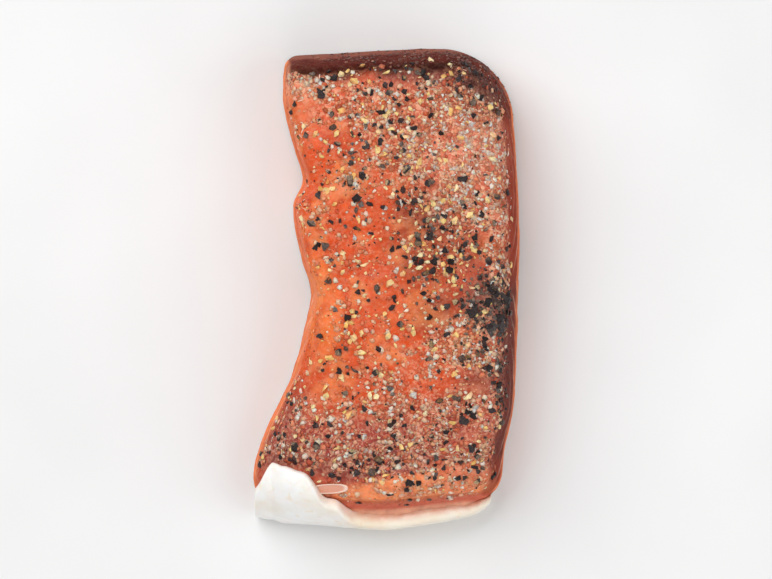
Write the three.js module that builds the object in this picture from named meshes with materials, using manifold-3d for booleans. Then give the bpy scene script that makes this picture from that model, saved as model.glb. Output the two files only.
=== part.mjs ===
// A peppered salmon fillet: one portion of raw salmon, cut across the fish, lying skin side down.
// +Y points to the thick back end and -Y to the thin belly end; +Z is up. Units are millimetres.
// Two solids: the flesh, with the largest pepper and garlic grains fused to it, and the skin with its
// white belly fat, which runs under the flesh, turns up at the belly end and folds over one corner.

import * as THREE from "three";
import { mergeVertices } from "three/addons/utils/BufferGeometryUtils.js";
import Module from "manifold-3d";

// Driving sizes
const LENGTH = 108; // flesh, back end to belly end
const BACK_END = 57; // y of the back end, before the whole is centred
const BELLY_END = BACK_END - LENGTH;
const SKIN_THICKNESS = 1.8;
const GAP = 0.3; // clearance between the two solids
const FLESH_BASE = SKIN_THICKNESS + GAP;

// The two cut sides and the two ends as seen from above, each as [position, value] pairs
const LEFT_SIDE = [[-52, -31.5], [-42, -31], [-34, -28.6], [-26, -25], [-18, -21.5], [-8, -18.9],
  [0, -17.4], [8, -19.6], [20, -21.6], [26.5, -19.3], [33, -21.1], [40, -23], [46, -23.9], [57, -23.4]];
const RIGHT_SIDE = [[-52, 26.6], [-42, 27.4], [-36, 28], [-28, 29.8], [-16, 30.6], [0, 31.1],
  [15, 31.3], [30, 30.7], [41, 29.8], [57, 28]];
// How far each end lies past its own y, by x; level where the corners' arcs run
const BACK_LINE = [[-24, -1.2], [-20, -1.2], [0, 0], [13, 0.4], [31, 0.4]];
const BELLY_LINE = [[-32, -0.2], [-22, -0.2], [-12, -0.6], [0, -0.9], [12, 0.4], [19, 1], [31, 1]];
const CORNER = { backLeft: 3, backRight: 15, bellyLeft: 9, bellyRight: 8 }; // radii in plan

// Thickness above the table along the fillet, and how the top rolls off at each edge
const THICKNESS = [[-52, 15.6], [-45, 17.6], [-37, 19.6], [-24, 22], [-5, 24.4], [15, 25.4], [35, 25],
  [50, 23.6], [57, 22.6]];
const ROLL = { right: 7.5, back: 6.5, belly: 9 };
const ROLL_LEFT = [[-52, 13], [-30, 12.5], [-14, 8], [-1, 3.8], [57, 3.6]]; // by y
const ROLL_POWER = 2.3;
const CROWN_DROP = 1.3; // how much lower the top is beside the cut sides than along the middle

// Low relief of the top: long swells, the groove before the belly end and the crease at the notch
const SWELLS = [
  { height: 0.38, across: 0.115, along: 0.061, phase: 0.6 },
  { height: 0.3, across: -0.083, along: 0.142, phase: 2.1 },
  { height: 0.22, across: 0.247, along: 0.118, phase: 4.4 },
  { height: 0.16, across: 0.19, along: -0.263, phase: 1.2 },
];
const GROOVE = { y: -40.5, width: 2.6, depth: 1.3, from: -14, to: 30, bow: 1.6 };
const CREASE = { y: 26.2, width: 1.5, depth: 0.9, from: -24, to: -8, bow: -1 };

// The skin's upturned lip and the fold of white fat, by x: thickness, and reach up and over the flesh
const LIP_FROM = -30.6;
const LIP_TO = 24.8;
const LIP_SPAN = 22; // length of the fillet's end that the lip may cover
const LIP_GAP = 0.5; // clearance between the lip and the flesh
const LIP_THICKNESS = [[-31, 1.8], [-27, 2.6], [-16, 2.7], [-9, 3], [0, 3.4], [10, 3.2], [18, 2.6],
  [25, 1.4]];
const LIP_REACH = [[-31, 11], [-28, 15.5], [-25.5, 18], [-22.5, 19.4], [-19, 19.2], [-16.8, 17.6],
  [-15.2, 14.8], [-13.6, 13], [-10.6, 11.8], [-9, 9.6], [-7.4, 7.2], [-5, 6], [4, 5.4], [14, 5.8],
  [21, 5], [25, 3.6]];
const LIP_ROOT = { height: 1.1, length: 3 }; // where the lip runs into the skin under the flesh
const LIP_FOOT = 0.9; // how far the lip's foot stands out at the root's height, as a share of its thickness
const LIP_NOSE = 0.42; // how far its rounded edge stands out, as a share of its thickness
const LIP_BLEND = 1.2; // length on each side of a point that its normal is taken over
const LIP_SAMPLES = 400;
const LIP_STATIONS = 34;
const LIP_STEPS = 11;
const FOLD_SIDE = -26.5; // beyond this x the fold hangs free past the cut side
const FOLD_DROOP = 0.007; // share of its height that the free part falls, by the square of its overhang

// Grains of cracked pepper and garlic fused to the flesh, sparse on its smooth wet band
const GRAIN_COUNT = 140;
const GRAIN_SIZE = [1.6, 0.75]; // half length of the first and of the last
const GRAIN_FALL = 0.6; // below 1 the sizes fall off faster at first
const GRAIN_FORM = { stretch: [0.82, 1.12], width: [0.6, 0.85], height: [0.42, 0.6] }; // shares of the half
const GRAIN_SINK = 0.36; // share of its height that is pressed in
const GRAIN_SPACING = [3.1, 6.4]; // on the crumbly flesh and on the smooth band
const GRAIN_EDGE = 3; // no grain's centre is closer to the outline than this
const GRAIN_STEP = 0.5; // the slope under a grain is taken over this length on each side
const FOLD_COVER = { x: -12, y: -38 }; // the fold lies over the corner beyond these
const SMOOTH_BAND = { from: [-19.5, 44], to: [4, -20], half: 9.5 };
const SEED = 20731;

// Mesh steps of the flesh
const STEPS_ACROSS = 26;
const STEPS_ALONG = 46;
const EDGE_CROWDING = 0.8; // 0 for even steps, 1 for steps that crowd to the edges

// A smooth curve through [position, value] pairs, level beyond the first and the last
function curveAt(pairs, at) {
  const last = pairs.length - 1;
  if (at <= pairs[0][0]) return pairs[0][1];
  if (at >= pairs[last][0]) return pairs[last][1];
  let i = 0;
  while (pairs[i + 1][0] < at) i += 1;
  const slopeAt = (k) => {
    const before = pairs[Math.max(k - 1, 0)];
    const after = pairs[Math.min(k + 1, last)];
    return (after[1] - before[1]) / (after[0] - before[0]);
  };
  const step = pairs[i + 1][0] - pairs[i][0];
  const t = (at - pairs[i][0]) / step;
  const a = pairs[i][1];
  const b = pairs[i + 1][1];
  return a * (2 * t ** 3 - 3 * t ** 2 + 1) + slopeAt(i) * step * (t ** 3 - 2 * t ** 2 + t)
    + b * (3 * t ** 2 - 2 * t ** 3) + slopeAt(i + 1) * step * (t ** 3 - t ** 2);
}

function smoothstep(low, high, value) {
  const t = Math.min(Math.max((value - low) / (high - low), 0), 1);
  return t * t * (3 - 2 * t);
}

// How far a rounded corner of the outline draws the side in, at a distance from the end
function cornerInset(distance, radius) {
  if (distance >= radius) return 0;
  const rest = radius - Math.max(distance, 0);
  return radius - Math.sqrt(radius * radius - rest * rest);
}

const backEnd = (x) => BACK_END + curveAt(BACK_LINE, x);
const bellyEnd = (x) => BELLY_END + curveAt(BELLY_LINE, x);

function leftSide(y) {
  const x = curveAt(LEFT_SIDE, y);
  return x + cornerInset(backEnd(x) - y, CORNER.backLeft) + cornerInset(y - bellyEnd(x), CORNER.bellyLeft);
}

function rightSide(y) {
  const x = curveAt(RIGHT_SIDE, y);
  return x - cornerInset(backEnd(x) - y, CORNER.backRight) - cornerInset(y - bellyEnd(x), CORNER.bellyRight);
}

// 0 at the edge, rising steeply and levelling out at 1 once the distance reaches the radius
function rollOff(distance, radius) {
  if (distance <= 0) return 0;
  if (distance >= radius) return 1;
  return (1 - (1 - distance / radius) ** ROLL_POWER) ** (1 / ROLL_POWER);
}

function channelDepth(channel, x, y) {
  const share = (x - channel.from) / (channel.to - channel.from);
  const middle = channel.y + channel.bow * Math.sin(Math.PI * Math.min(Math.max(share, 0), 1));
  const fade = smoothstep(0, 0.3, share) * smoothstep(1, 0.8, share);
  return channel.depth * fade * Math.exp(-(((y - middle) / channel.width) ** 2));
}

// Height of the flesh's upper surface above the table
function topAt(x, y) {
  const left = leftSide(y);
  const right = rightSide(y);
  const fromMiddle = (2 * x - left - right) / (right - left);
  let thickness = curveAt(THICKNESS, y) - CROWN_DROP * fromMiddle ** 2;
  for (const swell of SWELLS) {
    thickness += swell.height * Math.sin(swell.across * x + swell.along * y + swell.phase);
  }
  thickness -= channelDepth(GROOVE, x, y) + channelDepth(CREASE, x, y);
  const share = rollOff(x - left, curveAt(ROLL_LEFT, y)) * rollOff(right - x, ROLL.right)
    * rollOff(backEnd(x) - y, ROLL.back) * rollOff(y - bellyEnd(x), ROLL.belly);
  return FLESH_BASE + (thickness - FLESH_BASE) * share;
}

// Steps from 0 to 1 that crowd to both ends
function crowded(step, steps) {
  const even = step / steps;
  const cosine = 0.5 - 0.5 * Math.cos(Math.PI * even);
  return even + EDGE_CROWDING * (cosine - even);
}

// The point of the outline's grid at shares u across and v along
function planPoint(u, v) {
  let x = 0;
  let y = 0;
  for (let turn = 0; turn < 8; turn += 1) {
    y = bellyEnd(x) + v * (backEnd(x) - bellyEnd(x));
    x = leftSide(y) + u * (rightSide(y) - leftSide(y));
  }
  return [x, y];
}

function geometryOf(positions, triangles) {
  const geometry = new THREE.BufferGeometry();
  geometry.setAttribute("position", new THREE.Float32BufferAttribute(positions, 3));
  geometry.setIndex(triangles);
  return geometry;
}

// The outline of the fillet as a closed loop, anticlockwise
function outlineLoop() {
  const loop = [];
  for (let i = 0; i < STEPS_ACROSS; i += 1) loop.push(planPoint(crowded(i, STEPS_ACROSS), 0));
  for (let j = 0; j < STEPS_ALONG; j += 1) loop.push(planPoint(1, crowded(j, STEPS_ALONG)));
  for (let i = STEPS_ACROSS; i > 0; i -= 1) loop.push(planPoint(crowded(i, STEPS_ACROSS), 1));
  for (let j = STEPS_ALONG; j > 0; j -= 1) loop.push(planPoint(0, crowded(j, STEPS_ALONG)));
  return loop;
}

// The flesh: a grid over the outline, raised to the top surface, and a flat face under it
function fleshGeometry() {
  const positions = [];
  const triangles = [];
  const row = STEPS_ACROSS + 1;
  for (let j = 0; j <= STEPS_ALONG; j += 1) {
    for (let i = 0; i <= STEPS_ACROSS; i += 1) {
      const [x, y] = planPoint(crowded(i, STEPS_ACROSS), crowded(j, STEPS_ALONG));
      const edge = i === 0 || j === 0 || i === STEPS_ACROSS || j === STEPS_ALONG;
      positions.push(x, y, edge ? FLESH_BASE : topAt(x, y));
    }
  }
  for (let j = 0; j < STEPS_ALONG; j += 1) {
    for (let i = 0; i < STEPS_ACROSS; i += 1) {
      const a = j * row + i;
      triangles.push(a, a + 1, a + row + 1, a, a + row + 1, a + row);
    }
  }
  const loop = outlineLoop().map(([x, y]) => new THREE.Vector2(x, y));
  const start = positions.length / 3;
  for (const point of loop) positions.push(point.x, point.y, FLESH_BASE);
  for (const [a, b, c] of THREE.ShapeUtils.triangulateShape(loop, [])) {
    triangles.push(start + a, start + c, start + b);
  }
  return mergeVertices(geometryOf(positions, triangles), 1e-4);
}

// The skin under the flesh: the fillet's outline, extruded
function skinGeometry() {
  const shape = new THREE.Shape(outlineLoop().map(([x, y]) => new THREE.Vector2(x, y)));
  const geometry = new THREE.ExtrudeGeometry(shape, { depth: SKIN_THICKNESS, bevelEnabled: false });
  geometry.deleteAttribute("normal");
  geometry.deleteAttribute("uv");
  return mergeVertices(geometry, 1e-4);
}

// Where the outline's belly end lies at one x, its rounded corners included
function outlineStart(x) {
  const step = 0.02;
  let y = bellyEnd(x);
  while (x < leftSide(y) || x > rightSide(y)) y += step;
  return y;
}

// Points up the belly end and over the top at one x, with outward normals in the YZ plane
function endProfile(x, reach) {
  const start = outlineStart(x);
  const points = [[start, FLESH_BASE]];
  for (let k = 1; k <= LIP_SAMPLES; k += 1) {
    const y = start + LIP_SPAN * (k / LIP_SAMPLES) ** 3;
    points.push([y, topAt(x, y)]);
  }
  const lengths = [0];
  for (let k = 1; k < points.length; k += 1) {
    const [y0, z0] = points[k - 1];
    const [y1, z1] = points[k];
    lengths.push(lengths[k - 1] + Math.hypot(y1 - y0, z1 - z0));
  }
  const at = (length) => {
    let k = 1;
    while (k < points.length - 1 && lengths[k] < length) k += 1;
    const t = Math.min(Math.max((length - lengths[k - 1]) / (lengths[k] - lengths[k - 1]), 0), 1);
    return [0, 1].map((c) => points[k - 1][c] + t * (points[k][c] - points[k - 1][c]));
  };
  const profile = [];
  for (let k = 0; k <= LIP_STEPS; k += 1) {
    const length = (reach * k) / LIP_STEPS;
    const [y0, z0] = at(Math.max(length - LIP_BLEND, 0));
    const [y1, z1] = at(length + LIP_BLEND);
    const size = Math.hypot(y1 - y0, z1 - z0);
    profile.push({ point: at(length), normal: [-(z1 - z0) / size, (y1 - y0) / size] });
  }
  return profile;
}

// One closed section of the lip: along its root, up the inside, round the edge and down the outside
function lipSection(x) {
  const thickness = curveAt(LIP_THICKNESS, x);
  const carried = Math.max(x, FOLD_SIDE);
  const kept = 1 - FOLD_DROOP * (x - carried) ** 2;
  const profile = endProfile(carried, curveAt(LIP_REACH, x));
  const offset = ({ point, normal }, by) => [
    point[0] + normal[0] * by,
    FLESH_BASE + (point[1] + normal[1] * by - FLESH_BASE) * kept,
  ];
  const inner = profile.map((entry) => offset(entry, LIP_GAP));
  const outer = profile.map((entry) => offset(entry, LIP_GAP + thickness)).reverse();
  const edge = profile[LIP_STEPS];
  const onward = [edge.normal[1], -edge.normal[0]];
  const middle = offset(edge, LIP_GAP + thickness / 2);
  const nose = middle.map((value, c) => value + onward[c] * thickness * LIP_NOSE);
  const foot = outlineStart(carried) - LIP_GAP;
  const root = outlineStart(x) + LIP_ROOT.length;
  return [[root, 0], [root, LIP_ROOT.height], [foot, LIP_ROOT.height], ...inner, nose, ...outer,
    [foot - thickness * LIP_FOOT, LIP_ROOT.height], [foot - thickness / 2, 0]];
}

function lipGeometry() {
  const sections = [];
  for (let i = 0; i <= LIP_STATIONS; i += 1) {
    const x = LIP_FROM + ((LIP_TO - LIP_FROM) * i) / LIP_STATIONS;
    sections.push(lipSection(x).map(([y, z]) => [x, y, z]));
  }
  const size = sections[0].length;
  const triangles = [];
  for (let i = 0; i < LIP_STATIONS; i += 1) {
    for (let k = 0; k < size; k += 1) {
      const a = i * size + k;
      const b = i * size + ((k + 1) % size);
      triangles.push(a, b, b + size, a, b + size, a + size);
    }
  }
  for (const [station, flip] of [[0, true], [LIP_STATIONS, false]]) {
    const face = sections[station].map(([, y, z]) => new THREE.Vector2(y, z));
    for (const [a, b, c] of THREE.ShapeUtils.triangulateShape(face, [])) {
      const corners = [a, b, c].map((k) => station * size + k);
      triangles.push(...(flip ? corners.reverse() : corners));
    }
  }
  return geometryOf(sections.flat(2), triangles);
}

// A repeatable series of numbers from 0 to 1
function seededSeries(seed) {
  let state = seed;
  return () => {
    state = (state * 16807) % 2147483647;
    return state / 2147483647;
  };
}

const between = ([low, high], share) => low + (high - low) * share;

// An angular, slightly flat grain that lies on the flesh at x and y
function grainGeometry(x, y, half, draw) {
  const geometry = new THREE.IcosahedronGeometry(1, 0);
  geometry.deleteAttribute("normal");
  geometry.deleteAttribute("uv");
  const grain = mergeVertices(geometry, 1e-4);
  const corners = grain.getAttribute("position");
  for (let k = 0; k < corners.count; k += 1) {
    const stretch = between(GRAIN_FORM.stretch, draw());
    corners.setXYZ(k, corners.getX(k) * stretch, corners.getY(k) * stretch, corners.getZ(k) * stretch);
  }
  const width = half * between(GRAIN_FORM.width, draw());
  const height = half * between(GRAIN_FORM.height, draw());
  grain.scale(half, width, height);
  grain.rotateZ(draw() * Math.PI * 2);
  const slopeX = (topAt(x + GRAIN_STEP, y) - topAt(x - GRAIN_STEP, y)) / (2 * GRAIN_STEP);
  const slopeY = (topAt(x, y + GRAIN_STEP) - topAt(x, y - GRAIN_STEP)) / (2 * GRAIN_STEP);
  const normal = new THREE.Vector3(-slopeX, -slopeY, 1).normalize();
  grain.applyQuaternion(new THREE.Quaternion().setFromUnitVectors(new THREE.Vector3(0, 0, 1), normal));
  const lift = height - 2 * height * GRAIN_SINK;
  grain.translate(x + normal.x * lift, y + normal.y * lift, topAt(x, y) + normal.z * lift);
  return grain;
}

// 1 along the middle of the smooth wet band, 0 outside it
function smoothBand(x, y) {
  const [x0, y0] = SMOOTH_BAND.from;
  const [x1, y1] = SMOOTH_BAND.to;
  const length = Math.hypot(x1 - x0, y1 - y0);
  const along = ((x - x0) * (x1 - x0) + (y - y0) * (y1 - y0)) / length;
  const aside = ((x - x0) * (y1 - y0) - (y - y0) * (x1 - x0)) / length;
  const past = Math.max(-along, along - length, 0);
  return smoothstep(SMOOTH_BAND.half, SMOOTH_BAND.half / 2, Math.hypot(aside, past));
}

const underFold = (x, y) => x < FOLD_COVER.x && y < FOLD_COVER.y;

function grainGeometries() {
  const draw = seededSeries(SEED);
  const placed = [];
  while (placed.length < GRAIN_COUNT) {
    const [x, y] = planPoint(draw(), draw());
    const clear = x - leftSide(y) > GRAIN_EDGE && rightSide(y) - x > GRAIN_EDGE
      && backEnd(x) - y > GRAIN_EDGE && y - bellyEnd(x) > 2 * GRAIN_EDGE && !underFold(x, y);
    const spacing = between(GRAIN_SPACING, smoothBand(x, y));
    if (clear && placed.every(([px, py]) => Math.hypot(px - x, py - y) > spacing)) placed.push([x, y]);
  }
  return placed.map(([x, y], k) => {
    const half = between(GRAIN_SIZE, (k / GRAIN_COUNT) ** GRAIN_FALL);
    return grainGeometry(x, y, half, draw);
  });
}

const wasm = await Module();
wasm.setup();

function solidOf(geometry) {
  return new wasm.Manifold(new wasm.Mesh({
    numProp: 3,
    vertProperties: Float32Array.from(geometry.getAttribute("position").array),
    triVerts: Uint32Array.from(geometry.getIndex().array),
  }));
}

function geometryOfSolid(solid) {
  const mesh = solid.getMesh();
  return geometryOf(Array.from(mesh.vertProperties), Array.from(mesh.triVerts));
}

function fuse(solids) {
  return solids.reduce((whole, solid) => whole.add(solid));
}

const flesh = fuse([fleshGeometry(), ...grainGeometries()].map(solidOf));
const skin = fuse([skinGeometry(), lipGeometry()].map(solidOf));

const fleshMaterial = new THREE.MeshStandardMaterial({ color: 0xd9704a, roughness: 0.38, metalness: 0 });
const skinMaterial = new THREE.MeshStandardMaterial({ color: 0xf1ece4, roughness: 0.34, metalness: 0 });

const fillet = new THREE.Group();
for (const [name, solid, material] of [["flesh", flesh, fleshMaterial], ["skin", skin, skinMaterial]]) {
  const mesh = new THREE.Mesh(geometryOfSolid(solid), material);
  mesh.name = name;
  fillet.add(mesh);
}

// The origin is the middle of the underside
const box = new THREE.Box3().setFromObject(fillet);
fillet.position.set(-(box.min.x + box.max.x) / 2, -(box.min.y + box.max.y) / 2, -box.min.z);

export default fillet;
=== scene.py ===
import math

import bmesh
import bpy
import numpy as np
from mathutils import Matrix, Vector
from mathutils.bvhtree import BVHTree


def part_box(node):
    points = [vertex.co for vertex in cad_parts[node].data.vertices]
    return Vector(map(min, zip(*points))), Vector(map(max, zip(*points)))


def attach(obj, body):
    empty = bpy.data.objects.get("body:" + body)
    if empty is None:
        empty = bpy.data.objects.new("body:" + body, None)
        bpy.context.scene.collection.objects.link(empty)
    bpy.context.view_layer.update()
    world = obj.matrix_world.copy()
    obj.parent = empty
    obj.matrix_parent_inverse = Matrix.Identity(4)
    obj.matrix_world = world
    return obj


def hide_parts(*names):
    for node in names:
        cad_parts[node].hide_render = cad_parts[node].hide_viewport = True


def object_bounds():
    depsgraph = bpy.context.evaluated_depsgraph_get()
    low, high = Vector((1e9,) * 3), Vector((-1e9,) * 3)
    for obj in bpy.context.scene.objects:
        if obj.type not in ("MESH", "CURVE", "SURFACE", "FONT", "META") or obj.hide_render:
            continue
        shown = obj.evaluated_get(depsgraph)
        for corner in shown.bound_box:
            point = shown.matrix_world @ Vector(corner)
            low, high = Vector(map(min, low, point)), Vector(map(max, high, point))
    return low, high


# A peppered salmon fillet, skin side down. Lengths here are in millimetres, measured from the same point
# as the solids' own driving sizes; put_piece moves them to the frame's origin and turns them into metres.

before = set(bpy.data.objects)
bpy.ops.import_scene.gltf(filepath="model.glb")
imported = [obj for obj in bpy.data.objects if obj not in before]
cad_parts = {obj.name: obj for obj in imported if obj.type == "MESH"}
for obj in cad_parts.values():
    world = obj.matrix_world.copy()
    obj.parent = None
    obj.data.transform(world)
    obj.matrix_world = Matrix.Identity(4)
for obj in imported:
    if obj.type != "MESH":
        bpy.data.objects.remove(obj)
CAD_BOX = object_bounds()
MM = 0.001

# The fillet's driving sizes, as in the solids
LENGTH = 108
BACK_END = 57
BELLY_END = BACK_END - LENGTH
SKIN_THICKNESS = 1.8
FLESH_BASE = SKIN_THICKNESS + 0.3
LEFT_SIDE = [(-52, -31.5), (-42, -31), (-34, -28.6), (-26, -25), (-18, -21.5), (-8, -18.9), (0, -17.4),
             (8, -19.6), (20, -21.6), (26.5, -19.3), (33, -21.1), (40, -23), (46, -23.9), (57, -23.4)]
RIGHT_SIDE = [(-52, 26.6), (-42, 27.4), (-36, 28), (-28, 29.8), (-16, 30.6), (0, 31.1), (15, 31.3),
              (30, 30.7), (41, 29.8), (57, 28)]
BACK_LINE = [(-24, -1.2), (-20, -1.2), (0, 0), (13, 0.4), (31, 0.4)]
BACK_MIDDLE = -25, 13  # the stretch that is clear of the rounded corners
BELLY_LINE = [(-32, -0.2), (-22, -0.2), (-12, -0.6), (0, -0.9), (12, 0.4), (19, 1), (31, 1)]
CORNER = {"back_left": 3, "back_right": 15, "belly_left": 9, "belly_right": 8}
THICKNESS = [(-52, 15.6), (-45, 17.6), (-37, 19.6), (-24, 22), (-5, 24.4), (15, 25.4), (35, 25),
             (50, 23.6), (57, 22.6)]
ROLL = {"right": 7.5, "back": 6.5, "belly": 9}
ROLL_LEFT = [(-52, 13), (-30, 12.5), (-14, 8), (-1, 3.8), (57, 3.6)]
ROLL_POWER = 2.3
CROWN_DROP = 1.3
SWELLS = [(0.38, 0.115, 0.061, 0.6), (0.3, -0.083, 0.142, 2.1), (0.22, 0.247, 0.118, 4.4),
          (0.16, 0.19, -0.263, 1.2)]
GROOVE = {"y": -40.5, "width": 2.6, "depth": 1.3, "from": -14, "to": 30, "bow": 1.6}
CREASE = {"y": 26.2, "width": 1.5, "depth": 0.9, "from": -24, "to": -8, "bow": -1}

# The skin's upturned lip and the fold of white fat, as in the solids
LIP_FROM, LIP_TO, LIP_SPAN, LIP_GAP = -30.6, 24.8, 22, 0.5
LIP_THICKNESS = [(-31, 1.8), (-27, 2.6), (-16, 2.7), (-9, 3), (0, 3.4), (10, 3.2), (18, 2.6), (25, 1.4)]
LIP_REACH = [(-31, 11), (-28, 15.5), (-25.5, 18), (-22.5, 19.4), (-19, 19.2), (-16.8, 17.6), (-15.2, 14.8),
             (-13.6, 13), (-10.6, 11.8), (-9, 9.6), (-7.4, 7.2), (-5, 6), (4, 5.4), (14, 5.8), (21, 5),
             (25, 3.6)]
LIP_ROOT_HEIGHT, LIP_ROOT_LENGTH = 1.1, 3
LIP_FOOT = [(0.9, 1.1), (0.72, 0.3), (0.5, 0)]  # share of the thickness outwards, and height
FOLD_SIDE, FOLD_DROOP = -26.5, 0.007
LIP_STATIONS, LIP_STEPS, LIP_TURNS = 170, 44, 9
LIP_CAP = 4 + LIP_STEPS + LIP_TURNS // 2  # the column of a section in the middle of its rounded edge
TONGUE = (-13.2, -45.85), (4.6, 1.2), 0.05  # centre, half sizes and turn

# The grains that the solids carry
SOLID_GRAINS = 140
SOLID_GRAIN_SIZE = (1.6, 0.75)
GRAIN_SPACING = (3.1, 6.4)
FOLD_COVER = (-12, -38)
GRAIN_EDGE = 3
GRAIN_SEED = 20731
FIBRE_EDGE = 0.7
SMOOTH_BAND = {"from": (-19.5, 44), "to": (4, -20), "half": 9.5}

# Fineness of the meshes, and the seed of what is strewn
FLESH_STEP = 0.42
SKIN_STEP = 0.62
SEED = 5

# The picture's size in pixels, and the share of its height that the fillet takes
PICTURE = 772, 579
FILLET_SHARE = 0.84
CAMERA_HEIGHT = 2.2


# Form

def curve_at(pairs, at):
    """A smooth curve through (position, value) pairs, level beyond the first and the last."""
    knots, values = np.array(pairs, float).T
    order = np.arange(len(knots))
    before = np.maximum(order - 1, 0)
    after = np.minimum(order + 1, len(knots) - 1)
    slopes = (values[after] - values[before]) / (knots[after] - knots[before])
    at = np.clip(at, knots[0], knots[-1])
    i = np.clip(np.searchsorted(knots, at, side="right") - 1, 0, len(knots) - 2)
    step = knots[i + 1] - knots[i]
    t = (at - knots[i]) / step
    return (values[i] * (2 * t ** 3 - 3 * t ** 2 + 1) + slopes[i] * step * (t ** 3 - 2 * t ** 2 + t)
            + values[i + 1] * (3 * t ** 2 - 2 * t ** 3) + slopes[i + 1] * step * (t ** 3 - t ** 2))


def ease(low, high, value):
    """A smooth step from 0 at `low` to 1 at `high`."""
    t = np.clip((value - low) / (high - low), 0, 1)
    return t * t * (3 - 2 * t)


def peak(value, width):
    """1 where the value is 0, falling away within about the width on both sides."""
    return np.exp(-(value / width) ** 2)


def unit(vectors):
    return vectors / np.maximum(np.linalg.norm(vectors, axis=-1, keepdims=True), 1e-9)


def corner_inset(distance, radius):
    rest = radius - np.clip(distance, 0, radius)
    return radius - np.sqrt(radius ** 2 - rest ** 2)


def back_end(x):
    return BACK_END + curve_at(BACK_LINE, x)


def belly_end(x):
    return BELLY_END + curve_at(BELLY_LINE, x)


def left_side(y):
    x = curve_at(LEFT_SIDE, y)
    return (x + corner_inset(back_end(x) - y, CORNER["back_left"])
            + corner_inset(y - belly_end(x), CORNER["belly_left"]))


def right_side(y):
    x = curve_at(RIGHT_SIDE, y)
    return (x - corner_inset(back_end(x) - y, CORNER["back_right"])
            - corner_inset(y - belly_end(x), CORNER["belly_right"]))


def roll_off(distance, radius):
    rest = 1 - np.clip(distance / radius, 0, 1)
    return (1 - rest ** ROLL_POWER) ** (1 / ROLL_POWER)


def channel_depth(channel, x, y):
    share = (x - channel["from"]) / (channel["to"] - channel["from"])
    middle = channel["y"] + channel["bow"] * np.sin(math.pi * np.clip(share, 0, 1))
    fade = ease(0, 0.3, share) * ease(1, 0.8, share)
    return channel["depth"] * fade * peak(y - middle, channel["width"])


def top_at(x, y):
    """Height of the flesh's upper surface above the table."""
    left, right = left_side(y), right_side(y)
    from_middle = (2 * x - left - right) / (right - left)
    thickness = curve_at(THICKNESS, y) - CROWN_DROP * from_middle ** 2
    for height, across, along, phase in SWELLS:
        thickness = thickness + height * np.sin(across * x + along * y + phase)
    thickness = thickness - channel_depth(GROOVE, x, y) - channel_depth(CREASE, x, y)
    share = (roll_off(x - left, curve_at(ROLL_LEFT, y)) * roll_off(right - x, ROLL["right"])
             * roll_off(back_end(x) - y, ROLL["back"]) * roll_off(y - belly_end(x), ROLL["belly"]))
    return FLESH_BASE + (thickness - FLESH_BASE) * share


def plan_point(u, v):
    """The point of the outline at shares u across and v along."""
    x = 0.0
    for _ in range(8):
        y = belly_end(x) + v * (back_end(x) - belly_end(x))
        x = left_side(y) + u * (right_side(y) - left_side(y))
    return x, y


def band_place(x, y):
    """Where a place is beside the smooth wet band: how far aside, to its left, and how far past its ends."""
    x0, y0 = SMOOTH_BAND["from"]
    x1, y1 = SMOOTH_BAND["to"]
    length = math.hypot(x1 - x0, y1 - y0)
    along = ((x - x0) * (x1 - x0) + (y - y0) * (y1 - y0)) / length
    aside = ((x - x0) * (y1 - y0) - (y - y0) * (x1 - x0)) / length
    return aside, np.maximum(np.maximum(-along, along - length), 0)


def smooth_band(x, y):
    """1 along the middle of the smooth wet band, 0 outside it, as the solids' grains follow it."""
    half = SMOOTH_BAND["half"]
    return ease(half, half / 2, np.hypot(*band_place(x, y)))


def ragged_band(points, inner, outer):
    """The band out to the left side, fading between two distances from its middle, with an uneven edge."""
    x = points[..., 0] + 5 * fractal(points, 11, 121)
    y = points[..., 1] + 5 * fractal(points, 11, 127)
    aside, past = band_place(x, y)
    return ease(outer, inner, np.hypot(np.minimum(aside, 0), past)) * ease(-30, -20, y)


def value_noise(points, size, seed):
    """Smooth random numbers from -1 to 1 at an array of points, in lumps about `size` across."""
    place = np.asarray(points, float) / size + seed * 17.31
    cell = np.floor(place).astype(np.int64)
    inside = place - cell
    inside = inside * inside * (3 - 2 * inside)
    total = np.zeros(place.shape[:-1])
    for corner in np.ndindex(2, 2, 2):
        i, j, k = (cell[..., c] + corner[c] for c in range(3))
        mixed = (i * 73856093) ^ (j * 19349663) ^ (k * 83492791) ^ (seed * 2654435)
        mixed = ((mixed ^ (mixed >> 13)) * 1274126177) & 0x7FFFFFFF
        mixed = ((mixed ^ (mixed >> 15)) * 668265263) & 0x7FFFFFFF
        weight = np.ones_like(total)
        for c in range(3):
            weight = weight * (inside[..., c] if corner[c] else 1 - inside[..., c])
        total += weight * (mixed / 0x3FFFFFFF - 1)
    return total


def fractal(points, size, seed, octaves=3):
    total = sum(value_noise(points, size / 2 ** k, seed + k) / 2 ** k for k in range(octaves))
    return total / (2 - 0.5 ** (octaves - 1))


# Where pale granules cover the top, over an even share: centre, half sizes and share of the surface
EVEN_COVER = 0.08
COVER_PATCHES = [((20, 32), (12, 16), 0.85), ((4, 43), (22, 6), 0.5), ((-18, 49), (7, 4), 0.8),
                 ((3, 33), (10, 9), 0.35), ((27.5, 10), (4, 13), 0.75), ((19, -12), (9, 7), 0.6),
                 ((5, -17), (10, 7), 0.2), ((14, -28), (18, 6), 0.34), ((-14, -29), (10, 5), 0.25),
                 ((0, -37), (32, 6), 0.25), ((6, -46), (26, 3), 0.1)]


def patch_sum(x, y, patches):
    total = np.zeros(np.shape(x))
    for (cx, cy), (rx, ry), extra in patches:
        total += extra * ease(1.3, 0.4, np.hypot((x - cx) / rx, (y - cy) / ry))
    return total


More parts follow.
